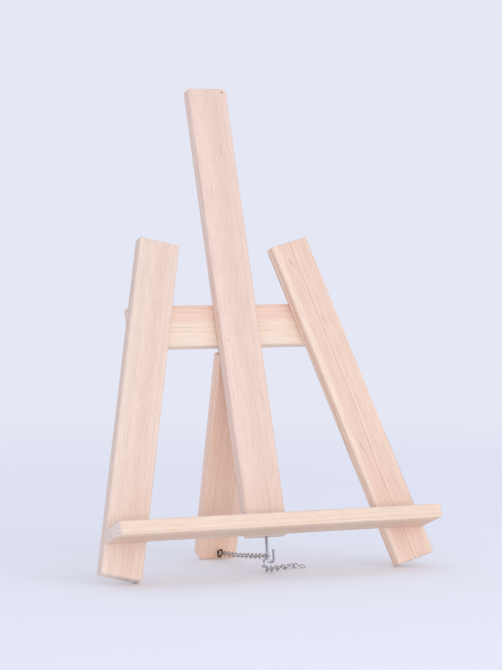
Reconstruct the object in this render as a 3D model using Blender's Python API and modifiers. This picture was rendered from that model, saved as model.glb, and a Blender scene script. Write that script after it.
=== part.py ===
"""Tabletop display easel of planed pine slats, with a hinged rear leg and a stay chain.

Run with: blender --background --python part.py

World frame: metres, +Z up, +X to the right of a person facing the stand, -Y towards that person.
The table top is z = 0 and the origin is the middle of the stand's outline on the table.
Three uprights, a crossbar and a ledge make a flat front frame that leans back about the X axis.
The rear leg hangs on a butt hinge under the crossbar and swings back until the chain is taut.
"""
import math

import bmesh
import bpy
from mathutils import Euler, Matrix, Vector

# ---- timber ----
SLAT_W = 0.045              # every slat is cut from the same planed lath
SLAT_T = 0.015
EASED = 0.002               # radius of the sanded edges
GAP = 0.0003                # left between pieces that touch

# ---- front frame: x across, y from the front faces backwards, z up the frame ----
LEAN = math.radians(18.5)
FRAME_Y = -0.07846          # world place of the frame's datum, the foot of its front plane
FRAME_Z = -0.00103          # a little under the table top, because the feet stand on eased corners
LEG_LENGTH = 0.367
LEG_FOOT_X = 0.169          # middle of a leg's foot end
LEG_SPLAY = {"left": math.radians(14.2), "right": math.radians(15.3)}
MAST_BOTTOM = 0.0447
MAST_LENGTH = 0.4957
CROSSBAR_LENGTH = 0.236
CROSSBAR_BOTTOM = 0.2546
LEDGE_LENGTH = 0.365
LEDGE_BOTTOM = MAST_BOTTOM

# ---- rear leg ----
OPEN_ANGLE = math.radians(32.5)     # between the frame and the rear leg, with the chain taut
REAR_LEG_X = 0.0025
REAR_LEG_LENGTH = 0.23143
REAR_LEG_CLIP = 0.005               # corners sawn off its foot
HINGE_HALF_GAP = 0.0008             # half the slit between crossbar and rear leg when folded

# ---- butt hinge on the back faces ----
LEAF_W = 0.030
LEAF_H = 0.017
LEAF_T = 0.0012
KNUCKLE_R = 0.0025
KNUCKLE_W = 0.010                   # the middle knuckle; the outer two share the rest
PIN_R = 0.0012
PIN_BORE_R = 0.0015
PIN_HEAD_R = 0.0020
LEAF_SCREW_X = 0.0095
LEAF_SCREW_Z = 0.0115

# ---- screws: head radius, head height, shank radius, length ----
LONG_SCREW = (0.0035, 0.0026, 0.0016, 0.040)
FRAME_SCREW = (0.0035, 0.0026, 0.0016, 0.026)
HINGE_SCREW = (0.0028, 0.0021, 0.0013, 0.012)
SCREW_CLEARANCE = 0.0003
SCREW_SINK = 0.0003                 # the heads lie this far below the surface
SCREW_SIDES = 12
CROSS_ARM = (0.0030, 0.0007, 0.0010)        # length, width and depth of the cross recess
CROSSBAR_SCREW_Z = 0.011            # at a leg: above and below the crossbar's middle
MAST_SCREW_X = 0.012                # at the mast: side by side,
MAST_SCREW_Z = 0.009                # clear of the hinge below them
LEDGE_SCREW_X = 0.012               # either side of an upright's middle

# ---- screw hook in the mast's bottom end ----
HOOK_WIRE_R = 0.0014
HOOK_SHANK = 0.018
HOOK_STEM = 0.0234                  # from the wood to the start of the bend
STEM_RISE = 0.0027                  # from the bend up to the chain round the stem
HOOK_BEND_R = 0.0036
HOOK_TIP = 0.0100                   # straight end after the bend
HOOK_TILT = math.radians(4.2)

# ---- screw eye in the rear leg's front face ----
EYE_WIRE_R = 0.0010
EYE_RING_R = 0.0039
EYE_FROM_FOOT = 0.0088
EYE_STANDOFF = 0.0055               # wood to the middle of the ring
EYE_SHANK = 0.009
EYE_MOUTH = math.radians(28)        # the ring is not quite closed
EYE_TURN = math.radians(18)         # the ring's lean, from how far the shank is screwed in
EYE_PULL = math.radians(20)         # the chain pulls on the ring this far above its front

# ---- chain of figure-of-eight links, each with its two loops a quarter turn apart ----
LINK_WIRE_R = 0.00055
LINK_LOOP_R = 0.0027
LINK_HALF = 0.00655                 # middle of the link to its end wire
LINK_WAIST = 0.00085
LINK_ARC = math.radians(132)        # each loop's arc either side of its outer end
RUN_LINKS = 11                      # from the eye to the hook
RUN_SAG = 0.0008
CHAIN_OVERLAP = 2 * LINK_WIRE_R + GAP       # between the end wires of neighbouring links
RUN_ROLL = math.radians(45)         # the first link's near loop lies flat, through the upright ring
RUN_TWIST = math.radians(90)        # so that the last link's far loop lies flat round the upright stem
# From the hook's stem: the top of the hanging link, then where each loose link points.
TAIL_ROUTE = ((-0.0028, 0.0032, 0.0015), (-0.0029, 0.0020, -0.0116), (0.0049, 0.0104, -0.0164),
              (0.0168, 0.0201, -0.0162), (0.0270, 0.0268, -0.0166), (0.0385, 0.0306, -0.0168),
              (0.0504, 0.0325, -0.0158), (0.0606, 0.0272, -0.0181))
TAIL_ROLL = [math.radians(a) for a in (66, 46, 34, 14, 3, -7, -15)]

PINE = (0.86, 0.66, 0.50, 1.0)
PINE_CREAM = (0.90, 0.74, 0.56, 1.0)
PINE_HEART = (0.82, 0.58, 0.42, 1.0)
STEEL = (0.62, 0.63, 0.65, 1.0)
ZINC = (0.55, 0.57, 0.60, 1.0)
CHAIN_STEEL = (0.40, 0.40, 0.42, 1.0)


def clear_scene():
    for obj in list(bpy.data.objects):
        bpy.data.objects.remove(obj, do_unlink=True)


def new_collection(name):
    collection = bpy.data.collections.new(name)
    bpy.context.scene.collection.children.link(collection)
    return collection


def make_material(name, colour, roughness, metallic):
    material = bpy.data.materials.new(name)
    material.use_nodes = True
    shader = material.node_tree.nodes["Principled BSDF"]
    shader.inputs["Base Color"].default_value = colour
    shader.inputs["Roughness"].default_value = roughness
    shader.inputs["Metallic"].default_value = metallic
    return material


def wood(name, colour):
    return make_material(name, colour, 0.6, 0.0)


def metal(name, colour, roughness):
    return make_material(name, colour, roughness, 1.0)


def add_part(name, mesh, material, parent, matrix):
    """Link a mesh as a named part; matrix is its place in its parent's frame."""
    obj = bpy.data.objects.new(name, mesh)
    PARTS.objects.link(obj)
    if not mesh.materials:
        mesh.materials.append(material)
    obj.parent = parent
    obj.matrix_basis = matrix
    return obj


def add_empty(name, parent, matrix):
    empty = bpy.data.objects.new(name, None)
    empty.empty_display_size = 0.02
    PARTS.objects.link(empty)
    empty.parent = parent
    empty.matrix_basis = matrix
    return empty


def cut(target, mesh, matrix):
    """Take a cutter shape, placed in the target's parent frame, out of the target."""
    cutter = bpy.data.objects.new("cut_" + target.name, mesh)
    CUTTERS.objects.link(cutter)
    cutter.hide_render = True
    cutter.display_type = "WIRE"
    cutter.parent = target.parent
    cutter.matrix_basis = matrix
    boolean = target.modifiers.new("cut", "BOOLEAN")
    boolean.operation = "DIFFERENCE"
    boolean.solver = "EXACT"
    boolean.object = cutter


def place(x, y, z, rx=0.0, ry=0.0, rz=0.0):
    return Matrix.Translation((x, y, z)) @ Euler((rx, ry, rz)).to_matrix().to_4x4()


# ---- shapes ----

def box_mesh(name, size, centre=(0.0, 0.0, 0.0)):
    bm = bmesh.new()
    bmesh.ops.create_cube(bm, size=1.0)
    bmesh.ops.scale(bm, vec=size, verts=bm.verts)
    bmesh.ops.translate(bm, vec=centre, verts=bm.verts)
    mesh = bpy.data.meshes.new(name)
    bm.to_mesh(mesh)
    bm.free()
    return mesh


def cylinder_mesh(name, radius, length, sides, axis_matrix=None):
    """A cylinder along Z, centred, optionally turned and moved."""
    bm = bmesh.new()
    bmesh.ops.create_cone(bm, cap_ends=True, segments=sides, radius1=radius, radius2=radius, depth=length)
    if axis_matrix is not None:
        bmesh.ops.transform(bm, matrix=axis_matrix, verts=bm.verts)
    mesh = bpy.data.meshes.new(name)
    bm.to_mesh(mesh)
    bm.free()
    return mesh


def turned_mesh(name, profile, sides):
    """Spin an (r, z) profile, given from its top to its bottom, about Z into a closed solid."""
    mesh = bpy.data.meshes.new(name)
    points = [(radius, 0.0, height) for radius, height in profile]
    mesh.from_pydata(points, [(i, i + 1) for i in range(len(points) - 1)], [])
    obj = bpy.data.objects.new(name, mesh)
    bpy.context.scene.collection.objects.link(obj)
    spin = obj.modifiers.new("spin", "SCREW")
    spin.steps = sides
    spin.render_steps = sides
    spin.use_merge_vertices = True
    spin.merge_threshold = 0.00001
    return apply_modifiers(obj)


def apply_modifiers(obj):
    """Turn an object's evaluated shape into a mesh of its own and remove the object."""
    depsgraph = bpy.context.evaluated_depsgraph_get()
    depsgraph.update()
    mesh = bpy.data.meshes.new_from_object(obj.evaluated_get(depsgraph))
    mesh.name = obj.name
    bpy.data.objects.remove(obj, do_unlink=True)
    return mesh


def wire_mesh(name, points, radius, closed):
    """Round wire along a list of points."""
    curve = bpy.data.curves.new(name, "CURVE")
    curve.dimensions = "3D"
    curve.bevel_depth = radius
    curve.bevel_resolution = 2
    curve.use_fill_caps = True
    spline = curve.splines.new("POLY")
    spline.points.add(len(points) - 1)
    for target, point in zip(spline.points, points):
        target.co = (point[0], point[1], point[2], 1.0)
    spline.use_cyclic_u = closed
    obj = bpy.data.objects.new(name, curve)
    bpy.context.scene.collection.objects.link(obj)
    mesh = apply_modifiers(obj)
    bpy.data.curves.remove(curve)
    bm = bmesh.new()
    bm.from_mesh(mesh)
    bmesh.ops.remove_doubles(bm, verts=bm.verts, dist=0.00001)
    bmesh.ops.recalc_face_normals(bm, faces=bm.faces)
    bm.to_mesh(mesh)
    bm.free()
    mesh.shade_smooth()
    return mesh


def arc(centre, radius, start, end, steps, across, up):
    """Points on an arc in the plane of two unit vectors."""
    points = []
    for i in range(steps + 1):
        angle = start + (end - start) * i / steps
        points.append(centre + across * radius * math.cos(angle) + up * radius * math.sin(angle))
    return points


# ---- timber pieces ----

def add_slat(name, length, colour, parent, matrix, clip=0.0):
    """A slat along Z with eased edges; clip saws the corners off its lower end."""
    mesh = box_mesh(name, (SLAT_W, SLAT_T, length))
    if clip > 0.0:
        bm = bmesh.new()
        bm.from_mesh(mesh)
        corners = [e for e in bm.edges if is_foot_corner(e, length)]
        bmesh.ops.bevel(bm, geom=corners, offset=clip, segments=1, affect="EDGES")
        bm.to_mesh(mesh)
        bm.free()
    obj = add_part(name, mesh, wood(name, colour), parent, matrix)
    ease = obj.modifiers.new("eased_edges", "BEVEL")
    ease.width = EASED
    ease.segments = 3
    ease.limit_method = "ANGLE"
    ease.angle_limit = math.radians(30)
    mesh.shade_smooth()
    mesh.set_sharp_from_angle(angle=math.radians(35))
    return obj


def is_foot_corner(edge, length):
    """True for the two edges across the thickness at the slat's lower end."""
    low = all(v.co.z < -0.49 * length for v in edge.verts)
    along_y = abs(edge.verts[0].co.y - edge.verts[1].co.y) > 0.5 * SLAT_T
    return low and along_y


def leg_matrix(side):
    """Place of an outer leg, which leans inwards from its foot."""
    sign = -1.0 if side == "left" else 1.0
    splay = LEG_SPLAY[side]
    foot_z = SLAT_T * math.tan(LEAN) + 0.5 * SLAT_W * math.sin(splay)
    x = sign * (LEG_FOOT_X - 0.5 * LEG_LENGTH * math.sin(splay))
    z = foot_z + 0.5 * LEG_LENGTH * math.cos(splay)
    return place(x, 0.5 * SLAT_T, z, ry=-sign * splay)


def leg_x_at(side, height):
    """Middle of an outer leg at a height up the frame."""
    sign = -1.0 if side == "left" else 1.0
    splay = LEG_SPLAY[side]
    foot_z = SLAT_T * math.tan(LEAN) + 0.5 * SLAT_W * math.sin(splay)
    return sign * (LEG_FOOT_X - (height - foot_z) * math.tan(splay))


# ---- screws ----

def screw_profile(size, clearance):
    """Countersunk screw with its head's top at z = 0; a clearance turns it into its hole."""
    head_r, head_h, shank_r, length = size
    top = 0.002 if clearance > 0.0 else 0.0
    rim = 0.0003
    head_r += clearance
    shank_r += clearance
    profile = [(0.0, top), (head_r, top)]
    profile += [(head_r, -rim - clearance), (shank_r, -head_h - clearance)]
    profile += [(shank_r, -length + 0.003), (0.0, -length - clearance)]
    return profile


def screw_meshes(name, size):
    """The screw, with its cross recess, and the hole that it sits in."""
    screw = bpy.data.objects.new(name, turned_mesh(name, screw_profile(size, 0.0), SCREW_SIDES))
    bpy.context.scene.collection.objects.link(screw)
    arm_l, arm_w, arm_d = CROSS_ARM
    arms = []
    for index, arm in enumerate(((arm_l, arm_w), (arm_w, arm_l))):
        cutter = bpy.data.objects.new("arm", box_mesh("arm", (arm[0], arm[1], 2 * arm_d)))
        bpy.context.scene.collection.objects.link(cutter)
        boolean = screw.modifiers.new("arm_%d" % index, "BOOLEAN")
        boolean.solver = "EXACT"
        boolean.object = cutter
        arms.append(cutter)
    mesh = apply_modifiers(screw)
    mesh.shade_smooth()
    mesh.set_sharp_from_angle(angle=math.radians(40))
    for cutter in arms:
        bpy.data.objects.remove(cutter, do_unlink=True)
    hole = turned_mesh(name + "_hole", screw_profile(size, SCREW_CLEARANCE), SCREW_SIDES)
    return mesh, hole


def drive(name, meshes, material, parent, matrix, through):
    """Drive a screw into the pieces in through; matrix puts its head's top on their back."""
    screw_mesh, hole_mesh = meshes
    add_part(name, screw_mesh, material, parent, matrix)
    for target in through:
        cut(target, hole_mesh, matrix)


def facing_back(x, y, z):
    """A screw driven forwards: its +Z end, the head, faces +Y."""
    return place(x, y, z, rx=-math.pi / 2)


# ---- hinge ----

def leaf_shape(name, upper):
    """One leaf with its knuckles, about the pin's axis, the plate upwards or downwards."""
    sign = 1.0 if upper else -1.0
    turn = Matrix.Rotation(math.pi / 2, 4, "Y")
    plate_y = -KNUCKLE_R + 0.5 * LEAF_T
    plate = box_mesh("plate", (LEAF_W, LEAF_T, LEAF_H), (0.0, plate_y, sign * 0.5 * LEAF_H))
    barrel = cylinder_mesh("barrel", KNUCKLE_R, LEAF_W, 20, turn)
    bore = cylinder_mesh("bore", PIN_BORE_R, 2 * LEAF_W, 16, turn)
    notch_size = 2 * (KNUCKLE_R + 2 * GAP)
    room = KNUCKLE_W + 2 * GAP if upper else KNUCKLE_W
    leaf = bpy.data.objects.new(name, plate)
    bpy.context.scene.collection.objects.link(leaf)
    tools = [("UNION", barrel), ("DIFFERENCE", bore)]
    if upper:
        tools.append(("DIFFERENCE", box_mesh("notch", (room, notch_size, notch_size))))
    else:
        side = 0.5 * LEAF_W
        for end in (-1.0, 1.0):
            centre = (end * (0.5 * room + side), 0.0, 0.0)
            tools.append(("DIFFERENCE", box_mesh("notch", (2 * side, notch_size, notch_size), centre)))
    helpers = []
    for operation, mesh in tools:
        helper = bpy.data.objects.new("tool", mesh)
        bpy.context.scene.collection.objects.link(helper)
        boolean = leaf.modifiers.new(operation, "BOOLEAN")
        boolean.operation = operation
        boolean.solver = "EXACT"
        boolean.object = helper
        helpers.append(helper)
    mesh = apply_modifiers(leaf)
    for helper in helpers:
        bpy.data.objects.remove(helper, do_unlink=True)
    mesh.shade_smooth()
    mesh.set_sharp_from_angle(angle=math.radians(30))
    return mesh


def add_hinge(lean, pivot, crossbar, rear_leg):
    """Butt hinge: its upper leaf on the crossbar, its lower leaf on the rear leg."""
    steel = metal("hinge_steel", STEEL, 0.35)
    hinge_screws = screw_meshes("hinge_screw", HINGE_SCREW)
    hub = place(REAR_LEG_X, HINGE_Y, HINGE_Z)
    upper = add_part("hinge_leaf_upper", leaf_shape("hinge_leaf_upper", True), steel, lean, hub)
    lower = add_part("hinge_leaf_lower", leaf_shape("hinge_leaf_lower", False), steel, pivot, Matrix())
    add_part("hinge_pin", pin_mesh(), metal("hinge_pin", STEEL, 0.3), lean, hub)
    screw_steel = metal("hinge_screw", ZINC, 0.3)
    head_y = -KNUCKLE_R + LEAF_T - 0.0001
    for index, x in enumerate((-LEAF_SCREW_X, LEAF_SCREW_X)):
        above = hub @ facing_back(x, head_y, LEAF_SCREW_Z)
        below = facing_back(x, head_y, -LEAF_SCREW_Z)
        drive("hinge_screw_upper_%d" % (index + 1), hinge_screws, screw_steel, lean, above, (upper, crossbar))
        drive("hinge_screw_lower_%d" % (index + 1), hinge_screws, screw_steel, pivot, below, (lower, rear_leg))


def pin_mesh():
    """Hinge pin with a peened head at each end."""
    half = 0.5 * LEAF_W
    head = 0.0008
    profile = [(0.0, half + GAP + head), (PIN_HEAD_R, half + GAP + head), (PIN_HEAD_R, half + GAP)]
    profile += [(PIN_R, half + GAP), (PIN_R, -half - GAP)]
    profile += [(PIN_HEAD_R, -half - GAP), (PIN_HEAD_R, -half - GAP - head), (0.0, -half - GAP - head)]
    mesh = turned_mesh("hinge_pin", profile, 16)
    mesh.transform(Matrix.Rotation(math.pi / 2, 4, "Y"))
    mesh.shade_smooth()
    mesh.set_sharp_from_angle(angle=math.radians(40))
    return mesh


# ---- hook and eye ----

def hook_points():
    """Centre line of the hook, with the wood's surface at z = 0 and the bend towards +X."""
    across = Vector((1.0, 0.0, 0.0))
    up = Vector((0.0, 0.0, 1.0))
    centre = Vector((HOOK_BEND_R, 0.0, -HOOK_STEM))
    points = [Vector((0.0, 0.0, HOOK_SHANK)), Vector((0.0, 0.0, 0.0)), Vector((0.0, 0.0, -0.5 * HOOK_STEM))]
    points += arc(centre, HOOK_BEND_R, math.pi, 2 * math.pi, 10, across, up)
    points.append(centre + across * HOOK_BEND_R + up * HOOK_TIP)
    return points


def eye_points():
    """Centre line of the eye: a shank along +Y into the wood, then a ring in the YZ plane."""
    across = Vector((0.0, -1.0, 0.0))
    up = Vector((0.0, 0.0, 1.0))
    root = EYE_STANDOFF - EYE_RING_R
    points = [Vector((0.0, EYE_STANDOFF + EYE_SHANK, 0.0)), Vector((0.0, EYE_STANDOFF, 0.0))]
    if root > EYE_WIRE_R:
        points.append(Vector((0.0, EYE_RING_R + 0.5 * root, 0.0)))
    start = -math.pi + math.radians(8)
    end = math.pi - EYE_MOUTH
    points += arc(Vector(), EYE_RING_R, start, end, 16, across, up)
    return points


def add_hook(lean, mast):
    hook = wire_mesh("screw_hook", hook_points(), HOOK_WIRE_R, False)
    matrix = hook_matrix()
    add_part("screw_hook", hook, metal("screw_hook", ZINC, 0.2), lean, matrix)
    length = HOOK_SHANK + 2 * GAP
    hole = cylinder_mesh("hook_hole", HOOK_WIRE_R + GAP, 2 * length, 16)
    cut(mast, hole, matrix)


def hook_matrix():
    return place(0.0, 0.5 * SLAT_T, MAST_BOTTOM, ry=HOOK_TILT)


def add_eye(pivot, rear_leg):
    eye = wire_mesh("screw_eye", eye_points(), EYE_WIRE_R, False)
    matrix = eye_matrix()
    add_part("screw_eye", eye, metal("screw_eye", ZINC, 0.3), pivot, matrix)
    depth = EYE_SHANK + 2 * GAP
    turn = Matrix.Rotation(math.pi / 2, 4, "X")
    hole = cylinder_mesh("eye_hole", EYE_WIRE_R + GAP, 2 * depth, 12, turn)
    cut(rear_leg, hole, matrix @ Matrix.Translation((0.0, EYE_STANDOFF, 0.0)))


def eye_matrix():
    """The eye in the rear leg's frame, whose origin is on the hinge pin."""
    face_y = REAR_LEG_BACK_Y - SLAT_T
    height = -HINGE_HALF_GAP - REAR_LEG_LENGTH + EYE_FROM_FOOT
    return place(0.0, face_y - EYE_STANDOFF, height, ry=EYE_TURN)


# ---- chain ----

def link_points(open_end=False):
    """Centre line of a link along X; the loop at -X is turned back and the one at +X forwards."""
    loop_x = LINK_HALF - LINK_LOOP_R
    quarter = math.radians(45)
    points = []
    for end in (1.0, -1.0):
        for i in range(9):
            angle = LINK_ARC * (i - 4) / 4
            x = end * (loop_x + LINK_LOOP_R * math.cos(angle))
            side = end * LINK_LOOP_R * math.sin(angle)
            points.append(Vector((x, side * math.cos(quarter), end * side * math.sin(quarter))))
        points.append(Vector((0.0, end * LINK_WAIST, 0.0)))
    if open_end:
        middle = 4
        points = points[middle + 1:] + points[:middle]
    return points


def link_matrix(start, end, roll):
    """A link whose end wires' middles lie on the line from start to end."""
    along = (end - start).normalized()
    side = Vector((0.0, 0.0, 1.0)).cross(along).normalized()
    up = along.cross(side)
    basis = Matrix((along, side, up)).transposed().to_4x4()
    return Matrix.Translation((start + end) / 2) @ basis @ Matrix.Rotation(roll, 4, "X")


def run_stations(eye_pin, hook_stem):
    """Ends of the taut links, from the wire behind the eye's ring to the wire before the hook."""
    along = (hook_stem - eye_pin).normalized()
    first = eye_pin - along * (EYE_WIRE_R + LINK_WIRE_R + GAP)
    last = hook_stem + along * (HOOK_WIRE_R + LINK_WIRE_R + GAP)
    span = (last - first).length
    pitch = (span - CHAIN_OVERLAP) / RUN_LINKS
    stations = []
    for i in range(RUN_LINKS):
        near = pitch * i / span
        far = (pitch * (i + 1) + CHAIN_OVERLAP) / span
        stations.append((sagged(first, last, near), sagged(first, last, far)))
    return stations


def sagged(first, last, share):
    drop = 4 * RUN_SAG * share * (1 - share)
    return first.lerp(last, share) - Vector((0.0, 0.0, drop))


def tail_stations(route):
    """Ends of the loose links: each starts inside the one before and points at its own route point."""
    stations = []
    start = route[0]
    for target in route[1:]:
        along = (target - start).normalized()
        end = start + along * 2 * LINK_HALF
        stations.append((start, end))
        start = end - along * CHAIN_OVERLAP
    return stations


def add_link(name, mesh, station, roll, pivot):
    """One link, placed in the frame of the empty at its joint."""
    start, end = station
    matrix = pivot.matrix_basis.inverted() @ link_matrix(start, end, roll)
    add_part(name, mesh, CHAIN_METAL, pivot, matrix)


clear_scene()
PARTS = new_collection("display_stand")
CUTTERS = new_collection("cutters")

# ---- frame ----
LEAN_MATRIX = place(0.0, FRAME_Y, FRAME_Z, rx=-LEAN)
lean = add_empty("front_frame", None, LEAN_MATRIX)

left_leg = add_slat("left_leg", LEG_LENGTH, PINE, lean, leg_matrix("left"))
right_leg = add_slat("right_leg", LEG_LENGTH, PINE, lean, leg_matrix("right"))
mast = add_slat("mast", MAST_LENGTH, PINE, lean, place(0.0, 0.5 * SLAT_T, MAST_BOTTOM + 0.5 * MAST_LENGTH))

crossbar_z = CROSSBAR_BOTTOM + 0.5 * SLAT_W
crossbar_turn = place(0.0, 1.5 * SLAT_T + GAP, crossbar_z, ry=math.pi / 2)
crossbar = add_slat("crossbar", CROSSBAR_LENGTH, PINE_CREAM, lean, crossbar_turn)

ledge_z = LEDGE_BOTTOM + 0.5 * SLAT_T
ledge_turn = place(0.0, -0.5 * SLAT_W - GAP, ledge_z) @ Euler((math.pi / 2, 0.0, 0.0)).to_matrix().to_4x4()
ledge_turn = ledge_turn @ Euler((0.0, math.pi / 2, 0.0)).to_matrix().to_4x4()
ledge = add_slat("ledge", LEDGE_LENGTH, PINE_CREAM, lean, ledge_turn)

# ---- rear leg on its hinge ----
CROSSBAR_BACK_Y = 2 * SLAT_T + GAP
HINGE_Y = CROSSBAR_BACK_Y + GAP + KNUCKLE_R
HINGE_Z = CROSSBAR_BOTTOM - HINGE_HALF_GAP
REAR_LEG_BACK_Y = CROSSBAR_BACK_Y - HINGE_Y
PIVOT_MATRIX = place(REAR_LEG_X, HINGE_Y, HINGE_Z, rx=OPEN_ANGLE)
rear_pivot = add_empty("rear_leg_pivot", lean, PIVOT_MATRIX)
rear_place = place(0.0, REAR_LEG_BACK_Y - 0.5 * SLAT_T, -HINGE_HALF_GAP - 0.5 * REAR_LEG_LENGTH)
rear_leg = add_slat("rear_leg", REAR_LEG_LENGTH, PINE_HEART, rear_pivot, rear_place, REAR_LEG_CLIP)
add_hinge(lean, rear_pivot, crossbar, rear_leg)

# ---- screws through the frame, all from the back ----
frame_screws = screw_meshes("frame_screw", FRAME_SCREW)
long_screws = screw_meshes("ledge_screw", LONG_SCREW)
frame_zinc = metal("frame_screw", ZINC, 0.3)
ledge_zinc = metal("ledge_screw", ZINC, 0.3)
uprights = (("left", left_leg), ("mast", mast), ("right", right_leg))
for side, upright in uprights:
    for index, step in enumerate((-1.0, 1.0)):
        if side == "mast":
            x, height = step * MAST_SCREW_X, crossbar_z + MAST_SCREW_Z
        else:
            height = crossbar_z + step * CROSSBAR_SCREW_Z
            x = leg_x_at(side, height)
        at = facing_back(x, CROSSBAR_BACK_Y - SCREW_SINK, height)
        name = "crossbar_screw_%s_%d" % (side, index + 1)
        drive(name, frame_screws, frame_zinc, lean, at, (crossbar, upright))
    for index, step in enumerate((-1.0, 1.0)):
        x = 0.0 if side == "mast" else leg_x_at(side, ledge_z)
        at = facing_back(x + step * LEDGE_SCREW_X, SLAT_T - SCREW_SINK, ledge_z)
        name = "ledge_screw_%s_%d" % (side, index + 1)
        drive(name, long_screws, ledge_zinc, lean, at, (upright, ledge))

# ---- hook, eye and chain ----
add_hook(lean, mast)
add_eye(rear_pivot, rear_leg)

eye_world = LEAN_MATRIX @ PIVOT_MATRIX @ eye_matrix()
hook_world = LEAN_MATRIX @ hook_matrix()
eye_pin = eye_world @ Vector((0.0, -EYE_RING_R * math.cos(EYE_PULL), EYE_RING_R * math.sin(EYE_PULL)))
hook_stem = hook_world @ Vector((0.0, 0.0, -HOOK_STEM + STEM_RISE))
LINK_MESH = wire_mesh("chain_link", link_points(), LINK_WIRE_R, True)
OPEN_LINK_MESH = wire_mesh("chain_end_link", link_points(open_end=True), LINK_WIRE_R, False)
CHAIN_METAL = metal("chain_steel", CHAIN_STEEL, 0.3)

run = run_stations(eye_pin, hook_stem)
run_roll = [RUN_ROLL + RUN_TWIST * i / (RUN_LINKS - 1) for i in range(RUN_LINKS)]
half_run = RUN_LINKS // 2
hook_link = run[-1]
front_pin = hook_link[0] + (hook_link[1] - hook_link[0]).normalized() * 0.5 * CHAIN_OVERLAP
rear_run = add_empty("chain_rear_pivot", None, Matrix.Translation(eye_pin))
front_run = add_empty("chain_front_pivot", None, Matrix.Translation(front_pin))
hooked = add_empty("chain_hook_place", None, Matrix.Translation(hook_stem))
for i in range(half_run):
    add_link("chain_rear_link_%d" % (i + 1), LINK_MESH, run[i], run_roll[i], rear_run)
    j = i + half_run
    add_link("chain_front_link_%d" % (i + 1), LINK_MESH, run[j], run_roll[j], front_run)
add_link("chain_hook_link", LINK_MESH, hook_link, run_roll[-1], hooked)

route = [hook_stem + Vector(point) for point in TAIL_ROUTE]
tail = tail_stations(route)
add_link("chain_drop_link", LINK_MESH, tail[0], TAIL_ROLL[0], hooked)
tail_pin = tail[1][0] + (tail[1][1] - tail[1][0]).normalized() * 0.5 * CHAIN_OVERLAP
loose = add_empty("chain_tail_pivot", None, Matrix.Translation(tail_pin))
for i in range(1, len(tail) - 1):
    add_link("chain_tail_link_%d" % i, LINK_MESH, tail[i], TAIL_ROLL[i], loose)
add_link("chain_end_link", OPEN_LINK_MESH, tail[-1], TAIL_ROLL[-1], loose)
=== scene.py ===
"""Looks of the tabletop display easel: sanded pine slats, zinc-plated fittings and a dull steel chain."""
import math

import bmesh
import bpy
from mathutils import Euler, Matrix, Vector


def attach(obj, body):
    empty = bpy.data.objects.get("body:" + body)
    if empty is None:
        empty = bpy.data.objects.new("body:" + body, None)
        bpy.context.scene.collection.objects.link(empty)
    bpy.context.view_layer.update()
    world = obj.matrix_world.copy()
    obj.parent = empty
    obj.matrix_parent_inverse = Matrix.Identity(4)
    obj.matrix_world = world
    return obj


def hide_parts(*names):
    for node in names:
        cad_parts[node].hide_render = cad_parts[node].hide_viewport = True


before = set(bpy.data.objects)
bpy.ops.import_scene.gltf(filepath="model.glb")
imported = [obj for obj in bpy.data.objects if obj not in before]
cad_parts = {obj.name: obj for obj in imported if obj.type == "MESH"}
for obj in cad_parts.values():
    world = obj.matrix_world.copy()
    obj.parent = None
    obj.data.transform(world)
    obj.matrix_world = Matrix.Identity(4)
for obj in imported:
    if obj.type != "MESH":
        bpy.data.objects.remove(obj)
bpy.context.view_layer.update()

# ---- the timber and its places, as in part.py, in metres ----
SLAT_W = 0.045
SLAT_T = 0.015
EASED = 0.002
GAP = 0.0003
LEAN = math.radians(18.5)
FRAME_Y = -0.07846
FRAME_Z = -0.00103
LEG_LENGTH = 0.367
LEG_FOOT_X = 0.169
LEG_SPLAY = {"left": math.radians(14.2), "right": math.radians(15.3)}
MAST_BOTTOM = 0.0447
MAST_LENGTH = 0.4957
CROSSBAR_LENGTH = 0.236
CROSSBAR_BOTTOM = 0.2546
LEDGE_LENGTH = 0.365
OPEN_ANGLE = math.radians(32.5)
REAR_LEG_X = 0.0025
REAR_LEG_LENGTH = 0.23143
REAR_LEG_CLIP = 0.005
HINGE_HALF_GAP = 0.0008

# ---- hinge ----
LEAF_W = 0.030
LEAF_H = 0.017
LEAF_T = 0.0012
LEAF_CORNER_R = 0.0015
KNUCKLE_R = 0.0025
KNUCKLE_W = 0.010
PIN_R = 0.0012
PIN_BORE_R = 0.0015
PIN_HEAD_R = 0.0020
PIN_HEAD_H = 0.0008
LEAF_SCREW_X = 0.0095
LEAF_SCREW_Z = 0.0115

# ---- screws: head radius, head height, shank radius, length, arm of the cross recess ----
LONG_SCREW = (0.0035, 0.0026, 0.0016, 0.040, 0.0038)
FRAME_SCREW = (0.0035, 0.0026, 0.0016, 0.026, 0.0038)
HINGE_SCREW = (0.0028, 0.0021, 0.0013, 0.012, 0.0031)
SCREW_CLEARANCE = 0.0003
SCREW_SINK = 0.0003
SCREW_RIM = 0.0003
SCREW_POINT = 0.003
HOLE_OVERRUN = 0.002
CROSS_WIDTH = 0.0008
CROSS_HEIGHT = 0.0024
CROSS_DIMPLE_R = 0.0010
CROSSBAR_SCREW_Z = 0.011
MAST_SCREW_X = 0.012
MAST_SCREW_Z = 0.009
LEDGE_SCREW_X = 0.012

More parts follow.
